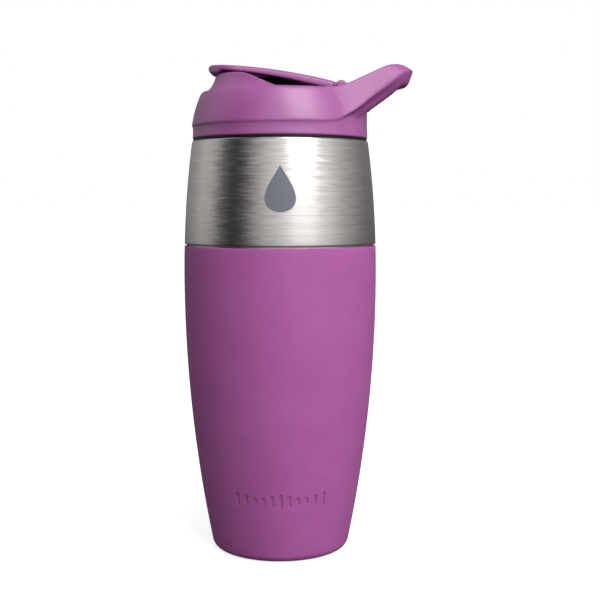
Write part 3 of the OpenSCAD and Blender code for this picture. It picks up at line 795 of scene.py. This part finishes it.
def cross_rod(bm, length, y, segments):
    """A rod on the hinge's axis, which lies across the bottle."""
    made = bmesh.ops.create_cone(bm, cap_ends=True, segments=segments, radius1=barrel_r,
                                 radius2=barrel_r, depth=length)["verts"]
    bmesh.ops.rotate(bm, cent=(0, 0, 0), matrix=Matrix.Rotation(math.pi / 2, 3, "X"), verts=made)
    bmesh.ops.translate(bm, vec=(hinge_x, y, hinge_z), verts=made)


def add_lugs(bm):
    for side in (-1, 1):
        cross_rod(bm, 3.4, side * (lug_y + 1.75), 40)
        leg = bmesh.ops.create_cube(bm, size=1.0)["verts"]
        bmesh.ops.scale(bm, vec=(leg_l, leg_w, leg_h), verts=leg)
        bmesh.ops.translate(bm, vec=(hinge_x + leg_l / 2, side * (lug_y + leg_w / 2),
                                     hinge_z - leg_h / 2), verts=leg)


# %% Fuse the lid
def fused(parts, name, size, relax, soft_zone=None):
    """Each part is closed by itself; the voxel remesh keeps only their common outside."""
    bm = bmesh.new()
    for part in parts:
        part(bm)
    bmesh.ops.remove_doubles(bm, verts=bm.verts, dist=1e-5)
    bmesh.ops.recalc_face_normals(bm, faces=bm.faces)
    piece = finish_mesh(bm, name, 0)
    remesh = piece.modifiers.new("remesh", "REMESH")
    remesh.mode, remesh.voxel_size = "VOXEL", size * MM
    settle(piece)
    bm = bmesh.new()
    bm.from_mesh(piece.data)
    softer = [v for v in bm.verts if soft_zone and soft_zone(v.co / MM)]
    for verts, times in ((bm.verts[:], relax), (softer, 4 * relax)):
        for _ in range(times if verts else 0):
            bmesh.ops.smooth_vert(bm, verts=verts, factor=0.5, use_axis_x=True, use_axis_y=True,
                                  use_axis_z=True)
    for face in bm.faces:
        face.smooth = True
    bm.to_mesh(piece.data)
    bm.free()
    return piece


def blends(co):
    """At the loop's tip, and where the strap grows out of the wall above its crisp lower edge."""
    at_tip = co.x > tip_x + 9
    outside = math.hypot(co.x, co.y) > well_r + 0.8
    return at_tip or (co.x > 2 and co.z > lower_edge(co.x) + 1.2 and outside)


lid = fused([add_lid_wall, add_collar, add_loop, add_lugs], "lid_moulding", lid_voxel, 2, blends)
place(lid, "lid", lid_finish, "lid_plastic", "lid_shell")

# %% [markdown]
# ## Plug
# The black plug carries the male thread, the deck that closes the well, and the spout tube.
# The tube and the vent hole go through the deck, so the deck is a turned part with two holes
# cut by Booleans.

# %% Plug
plug_r = 36.65
plug_wall = 2.2
deck_t = 2.4
deck_z = lid_z + 10.3
deck_r = well_r - 0.05
plug_floor = plug_low.z
spout_x = (seal_low.x + seal_high.x) / 2
spout_r = 9.0
spout_wall = 2.0
spout_top = plug_high.z
vent_x = 8.0
vent_r = 1.6


def plug_section():
    skirt_in = plug_r - plug_wall
    flange = skirt_bore - 0.05
    flange_top = crease_z - 0.75
    return ([(0, deck_z), (deck_r - 0.4, deck_z), (deck_r, deck_z - 0.4), (deck_r, flange_top),
             (flange - 0.3, flange_top), (flange, flange_top - 0.3), (flange, lid_z + 0.35),
             (flange - 0.3, lid_z + 0.05), (plug_r, lid_z + 0.05)]
            + [(plug_r, plug_floor + 0.5), (plug_r - 0.5, plug_floor), (skirt_in + 0.4, plug_floor),
               (skirt_in, plug_floor + 0.4), (skirt_in, lid_z + deck_t),
               (deck_r - plug_wall, lid_z + deck_t), (deck_r - plug_wall, deck_z - deck_t),
               (0, deck_z - deck_t)])


def hole_cutter(name, x, radius, low, high):
    bm = bmesh.new()
    bmesh.ops.create_cone(bm, cap_ends=True, segments=96, radius1=radius, radius2=radius,
                          depth=high - low)
    bmesh.ops.translate(bm, vec=(x, 0, (low + high) / 2), verts=bm.verts)
    return finish_mesh(bm, name, 0)


bm = bmesh.new()
turn(bm, plug_section(), 160)
plug = finish_mesh(bm, "plug_with_thread")
for cutter in (hole_cutter("spout_hole", spout_x, spout_r, deck_z - 6, deck_z + 3),
               hole_cutter("vent_hole", vent_x, vent_r, deck_z - 6, deck_z + 3)):
    cut = plug.modifiers.new(cutter.name, "BOOLEAN")
    cut.operation, cut.object, cut.solver = "DIFFERENCE", cutter, "EXACT"
    settle(plug)
    bpy.data.objects.remove(cutter)
bm = bmesh.new()
bm.from_mesh(plug.data)
bmesh.ops.scale(bm, vec=(1 / MM,) * 3, verts=bm.verts)
tube = bmesh.new()
lip_r = 0.5
turn(tube, [(spout_r, deck_z - deck_t), (spout_r + spout_wall, deck_z - deck_t)]
     + arc(spout_r + spout_wall - lip_r, spout_top - lip_r, lip_r, 0, 90, 5)
     + arc(spout_r + lip_r, spout_top - lip_r, lip_r, 90, 180, 5), 96)
bmesh.ops.translate(tube, vec=(spout_x, 0, 0), verts=tube.verts)
tube_mesh = bpy.data.meshes.new("tube")
tube.to_mesh(tube_mesh)
tube.free()
bm.from_mesh(tube_mesh)
for i in range(2):
    add_ridge(bm, plug_r, True, thread_low, math.pi * i)
bmesh.ops.recalc_face_normals(bm, faces=bm.faces)
old = plug
plug = finish_mesh(bm, "plug_black")
bpy.data.objects.remove(old)
place(plug, "lid", plug_finish, "plug_plastic", "lid_plug")

# %% [markdown]
# ## Flip cap
# The cap is a long, slightly crowned bar. It is lofted: one rounded section at each station from
# the thumb tab to the hinge, each a circle whose points are pressed into a soft rectangle. The
# top follows a long bow, and the wedge thickens towards the hinge. Two ribs stiffen the plate
# from below; they are made black as painted shade for the gap under the cap.

# %% Cap sizes
tab_x = cap_low.x
cap_back = hinge_x + 2.2
cap_half = 15.0
cap_top = rim_z + 12.2
cap_flat = 6
cap_droop = 0.035
cap_bow = 0.00196
cap_voxel = 0.35
rib_y = 5
rib_w = 1.6
rib_steps = 8


def cap_upper(x):
    """Height of the cap's top, which is level at the tab and then bows down to the hinge."""
    s = max(x - tab_x - cap_flat, 0)
    return cap_top - cap_droop * s - cap_bow * s * s


def cap_lower(x):
    """The wedge thickens to the hinge; under the thumb tab it swells down to the collar."""
    wedge = cap_upper(x) - 2.4 - 2.6 * (x - tab_x) / (hinge_x + 3 - tab_x)
    toe = rim_z + 7.95 + 0.7 * smooth((-32 - x) / 2.5)
    return wedge + (toe - wedge) * smooth((-27.5 - x) / 2.5)


def cap_width(x):
    """Half-width in plan: a round tab, straight sides, and a tongue between the lugs."""
    s = x - tab_x
    tab = math.sqrt(max(cap_half ** 2 - (cap_half - s) ** 2, 0)) if s < cap_half else cap_half
    back = smooth((x - (hinge_x - 4.2)) / 0.8)
    return tab * (1 - back) + 8.4 * back


# %% Cap body
cap_crown = 1.05
cap_skin = 0.45
squareness = 0.34
nose_l = 2.6


def add_cap_body(bm):
    """Sections close together at the tab and the hinge and wider apart between them."""
    places = [tab_x + 0.1 + 14 * (i / 24) ** 2 for i in range(25)]
    places += [tab_x + 14.1 + (hinge_x - 19.5 - tab_x) * i / 24 for i in range(1, 25)]
    places += [hinge_x - 5.4 + (cap_back - hinge_x + 5.2) * i / 20 for i in range(1, 21)]
    previous = None
    for x in places:
        nose = math.sqrt(1 - (1 - min((x - tab_x) / nose_l, 1)) ** 2)
        top, bottom = cap_upper(x) + cap_skin, cap_lower(x) + cap_skin
        middle, half_t = (top + bottom) / 2, max((top - bottom) / 2 * nose, 0.25)
        half = max(cap_width(x) - 0.05, 0.4)
        ring = bmesh.ops.create_circle(bm, segments=56, radius=1.0)["verts"]
        for v in ring:
            y = half * math.copysign(abs(v.co.x) ** squareness, v.co.x)
            up = half_t * math.copysign(abs(v.co.y) ** squareness, v.co.y)
            v.co = Vector((x, y, middle + up - cap_crown * (y / cap_half) ** 2))
        edges = list({e for v in ring for e in v.link_edges})
        if previous:
            bmesh.ops.bridge_loops(bm, edges=previous + edges)
        else:
            bmesh.ops.contextual_create(bm, geom=edges)
        previous = edges
    bmesh.ops.contextual_create(bm, geom=previous)


def add_cap_ribs(bm):
    """Two stiffening ribs under the plate, between the stopper's carrier and the hinge, black as painted
    shade.
    """
    low = rim_z + 3.15
    start = spout_x + spout_r + 1.4
    length = hinge_x - 12.4 - start
    spots = [start + length * i / rib_steps for i in range(rib_steps + 1)]
    outline = [(start, low), (spots[-1], low)] + [(x, cap_upper(x) - 1.2) for x in spots[::-1]]
    for side in (-1, 1):
        face = bm.faces.new([bm.verts.new((x, side * rib_y - rib_w / 2, z)) for x, z in outline])
        grown = bmesh.ops.extrude_face_region(bm, geom=[face])["geom"]
        far = [v for v in grown if isinstance(v, bmesh.types.BMVert)]
        bmesh.ops.translate(bm, vec=(0, rib_w, 0), verts=far)


def add_cap_barrel(bm):
    cross_rod(bm, 17.0, 0, 48)


def add_cap_belly(bm):
    """The round carrier that holds the stopper."""
    carrier = spout_r + 2.8
    low = seal_high.z + 0.05
    high = cap_upper(spout_x) - 1.6
    made = bmesh.ops.create_cone(bm, cap_ends=True, segments=64, radius1=carrier,
                                 radius2=carrier + 0.6, depth=high - low)["verts"]
    bmesh.ops.translate(bm, vec=(spout_x, 0, (low + high) / 2), verts=made)


cap = fused([add_cap_body, add_cap_barrel, add_cap_belly], "cap_moulding", cap_voxel, 2)
place(cap, "cap", lid_finish, "lid_plastic", "flip_cap")

bm = bmesh.new()
add_cap_ribs(bm)
bmesh.ops.recalc_face_normals(bm, faces=bm.faces)
# The ribs take the black plastic as painted shade, which darkens the gap under the cap.
place(finish_mesh(bm, "cap_ribs_painted_shade", 0), "cap", plug_finish, "plug_plastic")

# %% [markdown]
# ## Stopper and valve
# The stopper under the cap is a silicone disc with a tapered boss that fills the spout tube. The
# vent valve is an umbrella: a thin cap under the deck, on a stem that snaps through it.

# %% Stopper
def turned_at(name, section, x, steps=96):
    """A turned piece whose axis stands at x."""
    bm = bmesh.new()
    turn(bm, section, steps)
    bmesh.ops.translate(bm, vec=(x, 0, 0), verts=bm.verts)
    return finish_mesh(bm, name)


boss_h = 2.4
disc_z = seal_low.z + boss_h
low, high, disc_r = seal_low.z, seal_high.z, spout_r + 2
stopper_section = [(0, low), (spout_r - 1.6, low), (spout_r - 1.2, low + 0.3),
                   (spout_r - 0.4, disc_z), (disc_r - 0.3, disc_z), (disc_r, disc_z + 0.3),
                   (disc_r, high - 0.3), (disc_r - 0.3, high), (0, high)]
stopper = turned_at("stopper_silicone", stopper_section, spout_x)
place(stopper, "cap", silicone_finish, "silicone", "spout_seal")

# %% Valve
valve_x = (valve_low.x + valve_high.x) / 2
low, high = valve_low.z, valve_high.z
valve_section = [(0, low + 0.1), (3.2, low), (4.1, low + 0.35), (4.2, low + 0.8),
                 (1.5, low + 0.9), (1.5, high - 0.8), (2.3, high - 0.7), (2.1, high - 0.15),
                 (1.6, high), (0, high)]
valve = turned_at("vent_umbrella", valve_section, valve_x, 48)
place(valve, "lid", silicone_finish, "silicone", "vent_valve")

# %% [markdown]
# ## Carried-over pieces
# The pin, the grid and the sealed inner pieces keep their CAD meshes, whose shapes are right,
# and only get their finishes.

# %% Finishes for carried-over pieces
carried_over = {"hinge_pin": pin_finish, "mixing_grid": grid_finish, "shell_base": liner_finish,
                "vacuum_seal": glass_finish, "getter": getter_finish, "getter_clip": pin_finish}
for node, finish in carried_over.items():
    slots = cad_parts[node].data.materials
    slots.clear()
    slots.append(finish)
print("carried over with new finishes:", len(carried_over))

# %% [markdown]
# ## Studio
# Polished and brushed metal shows the room, so the room is drawn as a product studio would
# set it: a broad white wall from front left round to the right, a dark flag at front left that
# gives the steel its dark stripe, and a weaker white wall at back left that keeps the left edge
# from vanishing. It is a world shader whose brightness follows the compass direction and the
# height above the horizon. One softbox above the front right gives the plastic its sheen.

# %% Floor
bm = bmesh.new()
bmesh.ops.create_grid(bm, x_segments=1, y_segments=1, size=30000)
bmesh.ops.translate(bm, vec=(0, 0, -0.05), verts=bm.verts)
floor = finish_mesh(bm, "floor", 0)
paper, tree, output, where = new_material("white_paper_sweep")
fibre = add(tree, "ShaderNodeTexNoise", Vector=where, Scale=per_metre(2.0), Detail=2.0)
tone = ramp(tree, fibre.outputs["Fac"], colour("#f4f4f4"), colour("#f8f8f8"))
sheet_shader = add(tree, "ShaderNodeBsdfPrincipled", Base_Color=tone, Roughness=0.9,
                   Emission_Color=(1, 1, 1, 1), Emission_Strength=0.72)
tree.links.new(sheet_shader.outputs[0], output.inputs["Surface"])
floor.data.materials.append(paper)
floor.visible_diffuse = False
floor.visible_glossy = False


# %% Room
def grey_stops(node, pairs):
    """Gives a colour ramp its grey stops, each a place from 0 to 1 and a brightness."""
    elements = node.color_ramp.elements
    while len(elements) < len(pairs):
        elements.new(0.5)
    for element, (place_at, grey) in zip(elements, pairs):
        element.position = place_at
        element.color = (grey, grey, grey, 1)


by_bearing = {-180: 0.06, -128: 0.16, -112: 0.24, -92: 0.22, -76: 0.06, -60: 0.015, -49: 0.03,
              -39: 0.1, -18: 0.31, 0: 0.42, 33: 0.52, 55: 0.48, 80: 0.26, 110: 0.13, 130: 0.09, 180: 0.06}
by_height = {-1.0: 0.03, -0.35: 0.09, -0.1: 0.33, 0.02: 0.8, 0.12: 1.0, 0.35: 0.95, 0.7: 0.75,
             1.0: 0.55}

world = bpy.data.worlds.new("studio")
bpy.context.scene.world = world
world.use_nodes = True
tree = world.node_tree
tree.nodes.clear()
looking = add(tree, "ShaderNodeSeparateXYZ", Vector=add(tree, "ShaderNodeTexCoord").outputs["Generated"])
ahead = add(tree, "ShaderNodeMath", {"operation": "MULTIPLY"}, i0=looking.outputs["Y"], i1=-1.0)
bearing = add(tree, "ShaderNodeMath", {"operation": "ARCTAN2"}, i0=looking.outputs["X"],
              i1=ahead.outputs[0])
turn_share = add(tree, "ShaderNodeMapRange", Value=bearing.outputs[0], From_Min=-math.pi,
                 From_Max=math.pi)
rise_share = add(tree, "ShaderNodeMapRange", Value=looking.outputs["Z"], From_Min=-1.0, From_Max=1.0)
walls = add(tree, "ShaderNodeValToRGB", i0=turn_share.outputs[0])
grey_stops(walls, [((degrees + 180) / 360, grey) for degrees, grey in by_bearing.items()])
storeys = add(tree, "ShaderNodeValToRGB", i0=rise_share.outputs[0])
grey_stops(storeys, [((z + 1) / 2, grey) for z, grey in by_height.items()])
light = add(tree, "ShaderNodeMix", {"data_type": "RGBA", "blend_type": "MULTIPLY"}, i0=1.0,
            i6=walls.outputs["Color"], i7=storeys.outputs["Color"])
room = add(tree, "ShaderNodeBackground", Color=light.outputs[2], Strength=2.95)
backdrop = add(tree, "ShaderNodeBackground", Color=(1, 1, 1, 1), Strength=1.0)
seen = add(tree, "ShaderNodeLightPath").outputs["Is Camera Ray"]
mixed = add(tree, "ShaderNodeMixShader", i0=seen, i1=room.outputs[0], i2=backdrop.outputs[0])
out = tree.nodes.new("ShaderNodeOutputWorld")
tree.links.new(mixed.outputs[0], out.inputs["Surface"])


# %% Softbox
def softbox(name, azimuth, rise, distance, width, length, power):
    """A panel at an azimuth counted from the camera's side, positive to the right."""
    data = bpy.data.lights.new(name, "AREA")
    data.shape, data.size, data.size_y, data.energy = "RECTANGLE", width, length, power
    lamp = bpy.data.objects.new(name, data)
    bpy.context.collection.objects.link(lamp)
    a, e = math.radians(azimuth), math.radians(rise)
    aim = Vector((0, 0, 0.2))
    lamp.location = aim + distance * Vector((math.cos(e) * math.sin(a), -math.cos(e) * math.cos(a),
                                             math.sin(e)))
    lamp.rotation_euler = (aim - lamp.location).to_track_quat("-Z", "Y").to_euler()
    return lamp


softbox("key_softbox", 30, 40, 1.2, 0.7, 0.9, 9)

# %% [markdown]
# ## Camera
# A long lens a little over half a metre away, just above the middle of the bottle and tilted
# down by five degrees.

# %% Camera
lens, sensor = 65.96, 36.0
eye_distance = 0.54085
eye_height = 0.169
tilt = math.radians(4.936)
sideways = math.radians(1.03)
data = bpy.data.cameras.new("camera")
data.lens, data.sensor_width = lens, sensor
data.clip_start, data.clip_end = 0.01, 100
camera = bpy.data.objects.new("camera", data)
bpy.context.collection.objects.link(camera)
camera.location = (0, -eye_distance, eye_height)
camera.rotation_euler = (math.pi / 2 - tilt, 0, -sideways)
bpy.context.scene.camera = camera
bpy.context.scene.view_settings.view_transform = "Standard"
